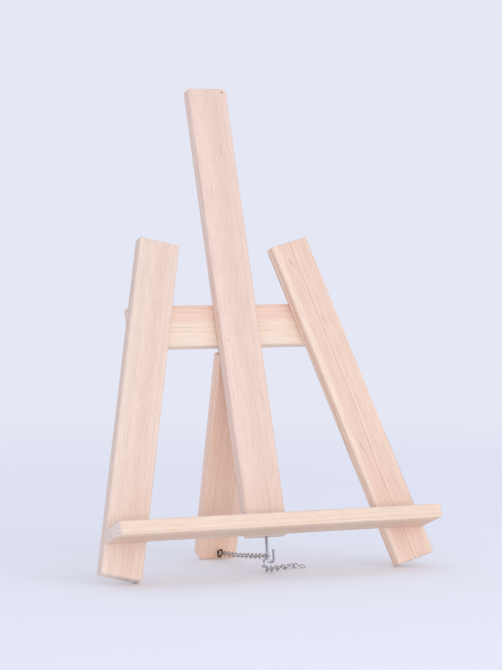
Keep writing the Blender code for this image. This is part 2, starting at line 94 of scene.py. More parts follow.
# ---- hook, eye and chain ----
HOOK_WIRE_R = 0.0014
HOOK_SHANK = 0.018
HOOK_STEM = 0.0234
STEM_RISE = 0.0027
HOOK_BEND_R = 0.0036
HOOK_TIP = 0.0100
HOOK_TILT = math.radians(4.2)
EYE_WIRE_R = 0.0010
EYE_RING_R = 0.0039
EYE_FROM_FOOT = 0.0088
EYE_STANDOFF = 0.0055
EYE_SHANK = 0.009
EYE_MOUTH = math.radians(28)
EYE_BEND = math.radians(35)
EYE_TURN = math.radians(18)
EYE_PULL = math.radians(20)
LINK_WIRE_R = 0.00055
FINE_WIRE_R = 0.0005
LINK_LOOP_R = 0.0027
LINK_HALF = 0.00655
LINK_WAIST = 0.00085
LINK_ARC = math.radians(132)
RUN_LINKS = 11
RUN_SAG = 0.0008
CHAIN_OVERLAP = 2 * LINK_WIRE_R + GAP
RUN_ROLL = math.radians(45)
RUN_TWIST = math.radians(90)
TAIL_ROUTE = ((-0.0028, 0.0032, 0.0015), (-0.0029, 0.0020, -0.0116), (0.0049, 0.0104, -0.0164),
              (0.0168, 0.0201, -0.0162), (0.0270, 0.0268, -0.0166), (0.0385, 0.0306, -0.0168),
              (0.0504, 0.0325, -0.0158), (0.0606, 0.0272, -0.0181))
TAIL_ROLL = [math.radians(a) for a in (66, 46, 34, 14, 3, -7, -15)]


def place(x, y, z, rx=0.0, ry=0.0, rz=0.0):
    return Matrix.Translation((x, y, z)) @ Euler((rx, ry, rz)).to_matrix().to_4x4()


LEAN_MATRIX = place(0.0, FRAME_Y, FRAME_Z, rx=-LEAN)
CROSSBAR_BACK_Y = 2 * SLAT_T + GAP
HINGE_Y = CROSSBAR_BACK_Y + GAP + KNUCKLE_R
HINGE_Z = CROSSBAR_BOTTOM - HINGE_HALF_GAP
REAR_LEG_BACK_Y = CROSSBAR_BACK_Y - HINGE_Y
PIVOT_MATRIX = LEAN_MATRIX @ place(REAR_LEG_X, HINGE_Y, HINGE_Z, rx=OPEN_ANGLE)


# ---- camera, light and floor ----

CAMERA_PLACE = (-1.12097, -2.42876, 0.36574)
CAMERA_AZIMUTH = math.radians(-25.2174)
CAMERA_ELEVATION = math.radians(2.1063)
CAMERA_PITCH = math.radians(0.4395)
CAMERA_YAW = math.radians(-0.2620)
CAMERA_LENS_MM = 135.92
SENSOR_HEIGHT_MM = 36.0
FLOOR_RADIUS = 25.0
GLOW_START, GLOW_END = 0.7, 2.2


def srgb(red, green, blue):
    """A colour given in 0-255 display values, as the linear values that shaders take."""
    values = []
    for channel in (red, green, blue):
        share = channel / 255
        values.append(share / 12.92 if share <= 0.04045 else ((share + 0.055) / 1.055) ** 2.4)
    return (*values, 1.0)


BACKDROP = srgb(229, 231, 244)


def add_camera():
    sine, cosine = math.sin(CAMERA_AZIMUTH), math.cos(CAMERA_AZIMUTH)
    level = math.cos(CAMERA_ELEVATION)
    back = Vector((sine * level, -cosine * level, math.sin(CAMERA_ELEVATION)))
    right = Vector((cosine, sine, 0.0))
    aim = Matrix((right, back.cross(right), back))
    aim = Matrix.Rotation(CAMERA_PITCH, 3, "X") @ Matrix.Rotation(CAMERA_YAW, 3, "Y") @ aim
    data = bpy.data.cameras.new("camera")
    data.sensor_fit = "VERTICAL"
    data.sensor_height = SENSOR_HEIGHT_MM
    data.lens = CAMERA_LENS_MM
    data.clip_end = 60.0
    camera = bpy.data.objects.new("camera", data)
    bpy.context.scene.collection.objects.link(camera)
    camera.matrix_world = Matrix.Translation(CAMERA_PLACE) @ aim.transposed().to_4x4()
    bpy.context.scene.camera = camera


def add_light(name, position, target, size, watts, colour):
    data = bpy.data.lights.new(name, "AREA")
    data.shape = "RECTANGLE"
    data.size, data.size_y = size
    data.energy = watts
    data.color = colour
    light = bpy.data.objects.new(name, data)
    bpy.context.scene.collection.objects.link(light)
    aim = (Vector(target) - Vector(position)).to_track_quat("-Z", "Y")
    light.matrix_world = Matrix.Translation(position) @ aim.to_matrix().to_4x4()
    light.visible_camera = False


class Graph:
    """Short calls that build one material's nodes. A value may be a number, a colour or a socket."""

    def __init__(self, name):
        self.material = bpy.data.materials.new(name)
        self.material.use_nodes = True
        self.tree = self.material.node_tree
        self.shader = self.tree.nodes["Principled BSDF"]

    def feed(self, socket, value):
        if isinstance(value, bpy.types.NodeSocket):
            self.tree.links.new(value, socket)
        else:
            socket.default_value = value

    def add(self, kind, inputs=None, **settings):
        node = self.tree.nodes.new("ShaderNode" + kind)
        for key, value in settings.items():
            setattr(node, key, value)
        for key, value in (inputs or {}).items():
            self.feed(node.inputs[key], value)
        return node

    def math(self, operation, *values):
        return self.add("Math", dict(enumerate(values)), operation=operation).outputs[0]

    def vector(self, operation, a, b):
        return self.add("VectorMath", {0: a, 1: b}, operation=operation).outputs[0]

    def combine(self, x, y, z):
        return self.add("CombineXYZ", {0: x, 1: y, 2: z}).outputs[0]

    def split(self, vector):
        return self.add("SeparateXYZ", {0: vector}).outputs

    def noise(self, vector, scale=1.0, detail=2.0, roughness=0.5):
        settings = {"Vector": vector, "Scale": scale, "Detail": detail, "Roughness": roughness}
        return self.add("TexNoise", settings).outputs[0]

    def step(self, value, low, high):
        """0 below low, 1 above high, with a smooth change between; low may be the larger."""
        node = self.add("MapRange", {"Value": value, "From Min": low, "From Max": high})
        node.interpolation_type = "SMOOTHSTEP"
        return node.outputs[0]

    def mix(self, share, a, b, blend="MIX"):
        node = self.add("Mix", {0: share, 6: a, 7: b}, data_type="RGBA", blend_type=blend)
        return node.outputs[2]

    def bump(self, height, strength, distance, normal=None):
        node = self.add("Bump", {"Height": height, "Strength": strength, "Distance": distance})
        if normal is not None:
            self.feed(node.inputs["Normal"], normal)
        return node.outputs[0]

    def finish(self, **sockets):
        for key, value in sockets.items():
            self.feed(self.shader.inputs[key.replace("_", " ").title().replace("Ior", "IOR")], value)
        return self.material


def add_floor():
    """A pale disc that takes the stand's shadow and fades into the backdrop further out."""
    graph = Graph("floor")
    position = graph.split(graph.add("NewGeometry").outputs["Position"])
    squares = [graph.math("POWER", position[axis], 2.0) for axis in (0, 1)]
    distance = graph.math("SQRT", graph.math("ADD", *squares))
    graph.finish(base_color=(0.90, 0.92, 0.96, 1.0), roughness=0.8, specular_ior_level=0.2)
    glow = graph.add("Emission", {"Color": BACKDROP})
    share = graph.step(distance, GLOW_START, GLOW_END)
    blend = graph.add("MixShader", {0: share, 1: graph.shader.outputs[0], 2: glow.outputs[0]})
    graph.tree.links.new(blend.outputs[0], graph.tree.nodes["Material Output"].inputs["Surface"])
    mesh = bpy.data.meshes.new("floor")
    bm = bmesh.new()
    bmesh.ops.create_circle(bm, cap_ends=True, segments=96, radius=FLOOR_RADIUS)
    bm.to_mesh(mesh)
    bm.free()
    mesh.materials.append(graph.material)
    floor = bpy.data.objects.new("floor", mesh)
    bpy.context.scene.collection.objects.link(floor)


def add_flag(name, position, size):
    """A grey card that only reflections see, so that plated wire keeps its edges against a pale room."""
    graph = Graph(name)
    graph.finish(base_color=(0.16, 0.16, 0.17, 1.0), roughness=1.0)
    mesh = bpy.data.meshes.new(name)
    bm = bmesh.new()
    bmesh.ops.create_grid(bm, x_segments=1, y_segments=1, size=0.5)
    bmesh.ops.scale(bm, vec=(*size, 1.0), verts=bm.verts)
    bm.to_mesh(mesh)
    bm.free()
    mesh.materials.append(graph.material)
    flag = bpy.data.objects.new(name, mesh)
    bpy.context.scene.collection.objects.link(flag)
    aim = (Vector((0.0, 0.0, 0.1)) - Vector(position)).to_track_quat("Z", "Y")
    flag.matrix_world = Matrix.Translation(position) @ aim.to_matrix().to_4x4()
    for ray in ("camera", "diffuse", "transmission", "volume_scatter", "shadow"):
        setattr(flag, "visible_" + ray, False)


add_camera()
add_flag("flag_back", (0.8, 2.6, 0.7), (4.0, 1.6))
add_flag("flag_left", (-2.6, 0.2, 0.7), (1.6, 1.6))
world = bpy.data.worlds.new("studio")
world.use_nodes = True
world.node_tree.nodes["Background"].inputs["Color"].default_value = BACKDROP
world.node_tree.nodes["Background"].inputs["Strength"].default_value = 1.0
bpy.context.scene.world = world
bpy.context.scene.view_settings.view_transform = "Standard"
add_light("key", (1.2, -2.6, 1.5), (0.0, 0.0, 0.2), (2.0, 2.0), 12.0, (1.0, 0.97, 0.93))
add_light("fill", (-0.9, -2.8, 0.3), (0.0, 0.0, 0.15), (2.0, 0.55), 21.0, (1.0, 0.96, 0.91))
add_floor()


# ---- wood ----

def pine(name, cream, pink, late, pith, ring, seed, heart, contrast, flecks=()):
    """Sanded, unfinished pine sawn along its local Z; lengths are in millimetres.

    pith is where the tree's middle lies from the slat's own, as (x, y, slope of y along z), and ring is the
    growth rings' spacing. heart is the pink heartwood as (middle x, half width, softness, strength), and
    flecks are small dark marks as (x, z, half width, half length, depth).
    """
    graph = Graph(name)
    point = graph.vector("MULTIPLY", graph.add("TexCoord").outputs["Object"], (1000.0, 1000.0, 1000.0))
    x, y, z = graph.split(point)
    shifted = graph.vector("ADD", point, (17.0 * seed, 5.0 * seed, 431.0 * seed))

    # growth rings about the pith, which wanders a little along the slat
    drift = graph.noise(graph.vector("MULTIPLY", shifted, (0.004, 0.004, 0.0045)), detail=1.0)
    sway = graph.noise(graph.vector("MULTIPLY", shifted, (0.05, 0.05, 0.016)), detail=2.0)
    wander = graph.math("ADD", graph.math("MULTIPLY", drift, 9.0), graph.math("MULTIPLY", sway, 1.1))
    across = graph.math("ADD", graph.math("SUBTRACT", x, pith[0]), wander)
    through = graph.math("ADD", graph.math("SUBTRACT", y, pith[1]), graph.math("MULTIPLY", z, pith[2]))
    flat = graph.math("ADD", graph.math("POWER", across, 2.0), graph.math("POWER", through, 2.0))
    radius = graph.math("SQRT", flat)
    uneven = graph.noise(graph.combine(graph.math("MULTIPLY", radius, 0.16), 3.1 * seed, 0.0), detail=1.0)
    phase = graph.math("ADD", graph.math("DIVIDE", radius, ring), graph.math("MULTIPLY", uneven, 2.2))
    share = graph.math("FRACT", phase)
    rise = graph.step(share, 0.35, 0.93)
    fall = graph.step(share, 1.0, 0.955)
    band = graph.math("MULTIPLY", rise, fall)
    which = graph.noise(graph.combine(graph.math("FLOOR", phase), 7.7 * seed, 0.0), detail=0.0)
    band = graph.math("MULTIPLY", band, graph.step(which, 0.25, 0.75))

    # fibres, short pore streaks and broad changes of tone
    fibre = graph.noise(graph.vector("MULTIPLY", shifted, (1.3, 1.3, 0.045)), detail=4.0, roughness=0.65)
    fine = graph.noise(graph.vector("MULTIPLY", shifted, (6.0, 6.0, 0.16)), detail=3.0, roughness=0.6)
    pores = graph.noise(graph.vector("MULTIPLY", shifted, (2.6, 2.6, 0.11)), detail=1.0)
    pores = graph.step(pores, 0.66, 0.78)
    cloud = graph.noise(graph.vector("MULTIPLY", shifted, (0.07, 0.07, 0.0045)), detail=2.0)
    blotch = graph.noise(graph.vector("MULTIPLY", shifted, (0.12, 0.12, 0.03)), detail=3.0)

    middle, half_width, softness, strength = heart
    off = graph.math("ABSOLUTE", graph.math("SUBTRACT", x, middle))
    off = graph.math("MULTIPLY_ADD", graph.math("SUBTRACT", cloud, 0.5), 14.0, off)
    zone = graph.step(off, half_width + softness, half_width - softness)
    colour = graph.mix(graph.math("MULTIPLY", zone, strength), cream, pink)
    colour = graph.mix(graph.math("MULTIPLY", band, contrast), colour, late)
    tone = graph.math("MULTIPLY_ADD", graph.math("SUBTRACT", fibre, 0.5), 0.22, 1.0)
    tone = graph.math("MULTIPLY_ADD", graph.math("SUBTRACT", fine, 0.5), 0.10, tone)
    tone = graph.math("MULTIPLY_ADD", graph.math("SUBTRACT", blotch, 0.5), 0.09, tone)
    tone = graph.math("MULTIPLY_ADD", pores, -0.055, tone)
    colour = graph.mix(1.0, colour, graph.combine(tone, tone, tone), "MULTIPLY")
    streak = graph.math("MULTIPLY", graph.step(fibre, 0.52, 0.36), 0.22)
    colour = graph.mix(streak, colour, late)

    # small dark marks
    marks = None
    for mark_x, mark_z, half_w, half_l, depth in flecks:
        dx = graph.math("DIVIDE", graph.math("SUBTRACT", x, mark_x), half_w)
        dz = graph.math("DIVIDE", graph.math("SUBTRACT", z, mark_z), half_l)
        square = graph.math("ADD", graph.math("MULTIPLY", dx, dx), graph.math("MULTIPLY", dz, dz))
        away = graph.math("SQRT", square)
        spot = graph.math("MULTIPLY", graph.step(away, 1.15, 0.45), depth)
        marks = spot if marks is None else graph.math("MAXIMUM", marks, spot)
    if marks is not None:
        colour = graph.mix(marks, colour, srgb(122, 78, 52))

    # sawn ends drink in more dirt and show open pores
    normal = graph.add("NewGeometry").outputs["Normal"]
    to_object = {"vector_type": "NORMAL", "convert_from": "WORLD", "convert_to": "OBJECT"}
    local = graph.add("VectorTransform", {0: normal}, **to_object)
    end = graph.step(graph.math("ABSOLUTE", graph.split(local.outputs[0])[2]), 0.75, 0.97)
    speckle = graph.noise(graph.vector("MULTIPLY", shifted, (3.2, 3.2, 0.6)), detail=3.0, roughness=0.7)
    end_colour = graph.mix(graph.math("MULTIPLY", band, 0.75), srgb(238, 222, 212), srgb(206, 174, 154))
    end_tone = graph.math("MULTIPLY_ADD", graph.math("SUBTRACT", speckle, 0.5), 0.35, 1.0)
    end_colour = graph.mix(1.0, end_colour, graph.combine(end_tone, end_tone, end_tone), "MULTIPLY")
    colour = graph.mix(end, colour, end_colour)

    # the latewood stands a hair proud after sanding, and the fibres are felt rather than seen
    height = graph.math("MULTIPLY_ADD", band, 0.5, graph.math("MULTIPLY", fibre, 0.7))
    height = graph.math("MULTIPLY_ADD", fine, 0.5, height)
    height = graph.math("MULTIPLY_ADD", pores, -0.5, height)
    height = graph.math("MULTIPLY_ADD", graph.math("MULTIPLY", end, speckle), 1.5, height)
    sheen = graph.math("MULTIPLY_ADD", band, -0.06, graph.math("MULTIPLY_ADD", fibre, 0.14, 0.48))
    rough = graph.math("MULTIPLY_ADD", end, 0.2, sheen)
    relief = graph.bump(height, 0.35, 0.00022)
    return graph.finish(base_color=colour, roughness=rough, normal=relief, specular_ior_level=0.35)


def turned(mesh_name, profile, sides):
    """Spin an (r, z) profile, top to bottom, about Z into a closed solid."""
    bm = bmesh.new()
    rings = []
    for radius, height in profile:
        if radius == 0.0:
            rings.append([bm.verts.new((0.0, 0.0, height))])
        else:
            steps = [2 * math.pi * i / sides for i in range(sides)]
            rings.append([bm.verts.new((radius * math.cos(a), radius * math.sin(a), height)) for a in steps])
    for upper, lower in zip(rings, rings[1:]):
        for i in range(sides):
            j = (i + 1) % sides
            corners = [upper[i % len(upper)], lower[i % len(lower)]]
            corners += [lower[j % len(lower)], upper[j % len(upper)]]
            unique = list(dict.fromkeys(corners))
            if len(unique) > 2:
                bm.faces.new(unique)
    bmesh.ops.recalc_face_normals(bm, faces=bm.faces)
    mesh = bpy.data.meshes.new(mesh_name)
    bm.to_mesh(mesh)
    bm.free()
    return mesh


def box_mesh(name, size, centre=(0.0, 0.0, 0.0)):
    bm = bmesh.new()
    bmesh.ops.create_cube(bm, size=1.0)
    bmesh.ops.scale(bm, vec=size, verts=bm.verts)
    bmesh.ops.translate(bm, vec=centre, verts=bm.verts)
    mesh = bpy.data.meshes.new(name)
    bm.to_mesh(mesh)
    bm.free()
    return mesh


def cylinder_mesh(name, radius, length, sides, matrix=Matrix()):
    bm = bmesh.new()
    round_ends = {"radius1": radius, "radius2": radius, "cap_ends": True}
    bmesh.ops.create_cone(bm, segments=sides, depth=length, matrix=matrix, **round_ends)
    mesh = bpy.data.meshes.new(name)
    bm.to_mesh(mesh)
    bm.free()
    return mesh


def helper(mesh, matrix=Matrix()):
    obj = bpy.data.objects.new("helper", mesh)
    bpy.context.scene.collection.objects.link(obj)
    obj.matrix_world = matrix
    return obj


def carved(mesh, tools, angle):
    """The mesh after (operation, tool mesh, tool matrix) steps, shaded smooth up to an angle."""
    body = helper(mesh)
    used = [body]
    for operation, tool_mesh, matrix in tools:
        tool = helper(tool_mesh, matrix)
        used.append(tool)
        step = body.modifiers.new("step", "BOOLEAN")
        step.operation = operation
        step.solver = "EXACT"
        step.object = tool
    depsgraph = bpy.context.evaluated_depsgraph_get()
    depsgraph.update()
    result = bpy.data.meshes.new_from_object(body.evaluated_get(depsgraph))
    for obj in used:
        bpy.data.objects.remove(obj, do_unlink=True)
    smooth(result, angle)
    return result


def smooth(mesh, angle):
    mesh.shade_smooth()
    mesh.set_sharp_from_angle(angle=math.radians(angle))


def add_piece(name, mesh, matrix, material, body):
    """A detailed piece in place of the CAD node of the same name."""
    mesh.materials.clear()
    mesh.materials.append(material)
    obj = bpy.data.objects.new("fine_" + name, mesh)
    bpy.context.scene.collection.objects.link(obj)
    obj.matrix_world = matrix
    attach(obj, body)
    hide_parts(name)
    return obj


# ---- where the screws go, all driven forwards from the back ----

def facing_back(x, y, z):
    return place(x, y, z, rx=-math.pi / 2)


def leg_foot_z(splay):
    return SLAT_T * math.tan(LEAN) + 0.5 * SLAT_W * math.sin(splay)


def leg_matrix(side):
    sign = -1.0 if side == "left" else 1.0
    splay = LEG_SPLAY[side]
    x = sign * (LEG_FOOT_X - 0.5 * LEG_LENGTH * math.sin(splay))
    z = leg_foot_z(splay) + 0.5 * LEG_LENGTH * math.cos(splay)
    return LEAN_MATRIX @ place(x, 0.5 * SLAT_T, z, ry=-sign * splay)


def leg_x_at(side, height):
    if side == "mast":
        return 0.0
    sign = -1.0 if side == "left" else 1.0
    splay = LEG_SPLAY[side]
    return sign * (LEG_FOOT_X - (height - leg_foot_z(splay)) * math.tan(splay))


crossbar_z = CROSSBAR_BOTTOM + 0.5 * SLAT_W
ledge_z = MAST_BOTTOM + 0.5 * SLAT_T
HUB_MATRIX = LEAN_MATRIX @ place(REAR_LEG_X, HINGE_Y, HINGE_Z)
LEAF_HEAD_Y = -KNUCKLE_R + LEAF_T - 0.0001

# each screw: its size, its place in the world, its body and the slats that it goes through
screws = {}
for side in ("left", "mast", "right"):
    upright = "mast" if side == "mast" else side + "_leg"
    for index, step in ((1, -1.0), (2, 1.0)):
        if side == "mast":
            x, height = step * MAST_SCREW_X, crossbar_z + MAST_SCREW_Z
        else:
            height = crossbar_z + step * CROSSBAR_SCREW_Z
            x = leg_x_at(side, height)
        at = LEAN_MATRIX @ facing_back(x, CROSSBAR_BACK_Y - SCREW_SINK, height)
        screws["crossbar_screw_%s_%d" % (side, index)] = (FRAME_SCREW, at, "frame", ("crossbar", upright))
        x = leg_x_at(side, ledge_z) + step * LEDGE_SCREW_X
        at = LEAN_MATRIX @ facing_back(x, SLAT_T - SCREW_SINK, ledge_z)
        screws["ledge_screw_%s_%d" % (side, index)] = (LONG_SCREW, at, "frame", (upright, "ledge"))
for index, x in ((1, -LEAF_SCREW_X), (2, LEAF_SCREW_X)):
    at = HUB_MATRIX @ facing_back(x, LEAF_HEAD_Y, LEAF_SCREW_Z)
    screws["hinge_screw_upper_%d" % index] = (HINGE_SCREW, at, "frame", ("crossbar", "hinge_leaf_upper"))
    at = PIVOT_MATRIX @ facing_back(x, LEAF_HEAD_Y, -LEAF_SCREW_Z)
    screws["hinge_screw_lower_%d" % index] = (HINGE_SCREW, at, "rear_leg", ("rear_leg", "hinge_leaf_lower"))


def screw_profile(size, clearance):
    """A screw's outline from its head down, or its hole's where there is a clearance."""
    head_r, head_h, shank_r, length = size[:4]
    head_r += clearance
    shank_r += clearance
    if clearance > 0.0:
        profile = [(0.0, HOLE_OVERRUN), (head_r, HOLE_OVERRUN)]
    else:
        profile = [(0.0, 0.0), (head_r - 0.00015, 0.0), (head_r, -0.0001)]
    profile += [(head_r, -SCREW_RIM - clearance), (shank_r, -head_h - clearance)]
    profile += [(shank_r, -length + SCREW_POINT), (0.0, -length - clearance)]
    return profile


def hole_tools(name, matrix):
    """Cutters for every screw that goes through a piece, in that piece's own frame."""
    to_piece = matrix.inverted()
    tools = []
    for size, at, _, through in screws.values():
        if name in through:
            hole = turned("hole", screw_profile(size, SCREW_CLEARANCE), 32)
            tools.append(("DIFFERENCE", hole, to_piece @ at))
    return tools


# ---- slats ----

def is_foot_corner(edge, length):
    low = all(v.co.z < -0.49 * length for v in edge.verts)
    return low and abs(edge.verts[0].co.y - edge.verts[1].co.y) > 0.5 * SLAT_T


def slat_mesh(name, length, clip):
    mesh = box_mesh(name, (SLAT_W, SLAT_T, length))
    bm = bmesh.new()
    bm.from_mesh(mesh)
    if clip > 0.0:
        corners = [e for e in bm.edges if is_foot_corner(e, length)]
        bmesh.ops.bevel(bm, geom=corners, offset=clip, segments=1, affect="EDGES")
    sharp = [e for e in bm.edges if e.calc_face_angle() > math.radians(30)]
    bmesh.ops.bevel(bm, geom=sharp, offset=EASED, segments=6, profile=0.5, affect="EDGES", clamp_overlap=True)
    bm.to_mesh(mesh)
    bm.free()
    return mesh


def add_slat(name, length, matrix, material, body, extra=(), clip=0.0):
    tools = hole_tools(name, matrix) + list(extra)
    mesh = carved(slat_mesh(name, length, clip), tools, angle=40.0)
    return add_piece(name, mesh, matrix, material, body)


woods = {
    "left_leg": pine(
        "pine_left_leg", srgb(233, 212, 196), srgb(231, 207, 191), srgb(208, 168, 142),
        pith=(-82.0, 9.0, 0.01), ring=2.0, seed=1.0, heart=(4.0, 12.0, 8.0, 1.0), contrast=0.4),
    "right_leg": pine(
        "pine_right_leg", srgb(239, 216, 197), srgb(236, 207, 190), srgb(206, 156, 124),
        pith=(-58.0, 14.0, 0.02), ring=2.6, seed=2.0, heart=(-1.0, 15.0, 4.0, 1.0), contrast=0.6,
        flecks=((-8.0, 162.0, 0.5, 5.5, 0.55), (-5.6, 157.0, 0.4, 4.0, 0.35), (3.5, 91.0, 0.5, 8.0, 0.45),
                (6.0, 86.0, 0.4, 5.0, 0.3), (-12.2, -52.0, 0.5, 9.0, 0.45), (-9.8, -61.0, 0.4, 7.0, 0.3))),
    "mast": pine(
        "pine_mast", srgb(236, 212, 198), srgb(229, 205, 189), srgb(206, 161, 132),
        pith=(-70.0, -11.0, -0.01), ring=2.0, seed=3.0, heart=(5.0, 9.0, 9.0, 1.0), contrast=0.5,
        flecks=((-0.6, 244.0, 0.9, 0.8, 0.55), (16.5, 243.6, 1.4, 1.4, 0.8), (-17.0, -37.0, 0.8, 0.8, 0.6),
                (6.0, 176.0, 1.0, 9.0, 0.2), (-11.0, 128.0, 0.6, 12.0, 0.22))),
    "crossbar": pine(
        "pine_crossbar", srgb(239, 222, 203), srgb(237, 209, 191), srgb(222, 170, 136),
        pith=(38.0, -12.0, 0.01), ring=3.2, seed=4.0, heart=(-20.0, 17.0, 3.0, 1.0), contrast=0.5),
    "ledge": pine(
        "pine_ledge", srgb(235, 213, 192), srgb(232, 206, 185), srgb(210, 164, 130),
        pith=(-20.0, 46.0, -0.006), ring=2.9, seed=5.0, heart=(0.0, 12.0, 8.0, 1.0), contrast=0.5),
    "rear_leg": pine(
        "pine_rear_leg", srgb(244, 215, 194), srgb(238, 206, 184), srgb(212, 164, 134),
        pith=(-64.0, 8.0, 0.01), ring=2.4, seed=6.0, heart=(-4.0, 14.0, 8.0, 1.0), contrast=0.45),
}

hook_matrix = LEAN_MATRIX @ place(0.0, 0.5 * SLAT_T, MAST_BOTTOM, ry=HOOK_TILT)
eye_height = -HINGE_HALF_GAP - REAR_LEG_LENGTH + EYE_FROM_FOOT
eye_matrix = PIVOT_MATRIX @ place(0.0, REAR_LEG_BACK_Y - SLAT_T - EYE_STANDOFF, eye_height, ry=EYE_TURN)

mast_matrix = LEAN_MATRIX @ place(0.0, 0.5 * SLAT_T, MAST_BOTTOM + 0.5 * MAST_LENGTH)
hook_hole = cylinder_mesh("hook_hole", HOOK_WIRE_R + GAP, 2 * (HOOK_SHANK + 2 * GAP), 32)
mast_extra = [("DIFFERENCE", hook_hole, mast_matrix.inverted() @ hook_matrix)]
crossbar_matrix = LEAN_MATRIX @ place(0.0, 1.5 * SLAT_T + GAP, crossbar_z, ry=math.pi / 2)
ledge_turn = Matrix.Rotation(math.pi / 2, 4, "Y")
ledge_matrix = LEAN_MATRIX @ place(0.0, -0.5 * SLAT_W - GAP, ledge_z, rx=math.pi / 2) @ ledge_turn
rear_centre_z = -HINGE_HALF_GAP - 0.5 * REAR_LEG_LENGTH
rear_matrix = PIVOT_MATRIX @ place(0.0, REAR_LEG_BACK_Y - 0.5 * SLAT_T, rear_centre_z)
lying = Matrix.Rotation(math.pi / 2, 4, "X")
eye_hole = cylinder_mesh("eye_hole", EYE_WIRE_R + GAP, 2 * (EYE_SHANK + 2 * GAP), 24, lying)
eye_root = eye_matrix @ Matrix.Translation((0.0, EYE_STANDOFF, 0.0))
rear_extra = [("DIFFERENCE", eye_hole, rear_matrix.inverted() @ eye_root)]

add_slat("left_leg", LEG_LENGTH, leg_matrix("left"), woods["left_leg"], "frame")
add_slat("right_leg", LEG_LENGTH, leg_matrix("right"), woods["right_leg"], "frame")
add_slat("mast", MAST_LENGTH, mast_matrix, woods["mast"], "frame", mast_extra)
add_slat("crossbar", CROSSBAR_LENGTH, crossbar_matrix, woods["crossbar"], "frame")
add_slat("ledge", LEDGE_LENGTH, ledge_matrix, woods["ledge"], "frame")
add_slat("rear_leg", REAR_LEG_LENGTH, rear_matrix, woods["rear_leg"], "rear_leg",
         rear_extra, REAR_LEG_CLIP)


# ---- metal ----

def metal(name, clean, dull, rough, wear=0.5, brushed=None, seed=1.0):
    """Plated or bare steel: clean metal with duller patches, fine scratches and dirt in small pits."""
    graph = Graph(name)
    point = graph.vector("MULTIPLY", graph.add("TexCoord").outputs["Object"], (1000.0, 1000.0, 1000.0))
    point = graph.vector("ADD", point, (3.0 * seed, 7.0 * seed, 11.0 * seed))
    patch = graph.noise(point, 0.45, 4.0, 0.65)
    grit = graph.noise(point, 4.5, 3.0, 0.6)
    scratch = graph.noise(graph.vector("MULTIPLY", point, brushed or (7.0, 1.2, 0.4)), 1.0, 3.0, 0.7)
    worn = graph.step(graph.math("MULTIPLY_ADD", grit, 0.35, patch), 0.80 - 0.3 * wear, 1.0 - 0.25 * wear)
    colour = graph.mix(worn, clean, dull)
    colour = graph.mix(graph.math("MULTIPLY", graph.step(grit, 0.62, 0.75), 0.35), colour, srgb(92, 84, 76))
    roughness = graph.math("MULTIPLY_ADD", scratch, 0.16, rough - 0.06)
    roughness = graph.math("MULTIPLY_ADD", worn, 0.22, roughness)
    relief = graph.bump(graph.math("MULTIPLY_ADD", grit, 0.4, scratch), 0.25, 0.00004)
    return graph.finish(base_color=colour, roughness=roughness, metallic=1.0, normal=relief)


HINGE_STEEL = metal("hinge_steel", srgb(196, 197, 200), srgb(160, 158, 156), 0.30, 0.4, (0.5, 6.0, 6.0), 1.0)
PIN_STEEL = metal("pin_steel", srgb(190, 190, 192), srgb(150, 148, 145), 0.28, 0.4, None, 2.0)
SCREW_ZINC = metal("screw_zinc", srgb(200, 201, 200), srgb(172, 170, 160), 0.26, 0.4, None, 3.0)
HOOK_ZINC = metal("hook_zinc", srgb(178, 182, 194), srgb(126, 130, 142), 0.14, 0.4, None, 4.0)
EYE_ZINC = metal("eye_zinc", srgb(104, 94, 88), srgb(48, 40, 36), 0.24, 0.8, None, 5.0)
CHAIN_STEEL = metal("chain_steel", srgb(198, 194, 192), srgb(120, 110, 102), 0.24, 0.65, None, 6.0)

dimple_profile = [(0.0, 0.001), (CROSS_DIMPLE_R, 0.001), (CROSS_DIMPLE_R, 0.0), (0.0, -0.0016)]
screw_meshes = {}
for size in (LONG_SCREW, FRAME_SCREW, HINGE_SCREW):
    arm = size[4]
    cutters = [box_mesh("arm", (arm, CROSS_WIDTH, CROSS_HEIGHT)),
               box_mesh("arm", (CROSS_WIDTH, arm, CROSS_HEIGHT)),
               turned("dimple", dimple_profile, 16)]
    recess = [("DIFFERENCE", cutter, Matrix()) for cutter in cutters]
    screw_meshes[size] = carved(turned("screw", screw_profile(size, 0.0), 48), recess, angle=30.0)
for name, (size, at, body, _) in screws.items():
    add_piece(name, screw_meshes[size].copy(), at, SCREW_ZINC, body)


def is_leaf_corner(edge):
    outer = all(abs(v.co.z) > 0.9 * LEAF_H for v in edge.verts)
    return outer and abs(edge.verts[0].co.y - edge.verts[1].co.y) > 0.5 * LEAF_T


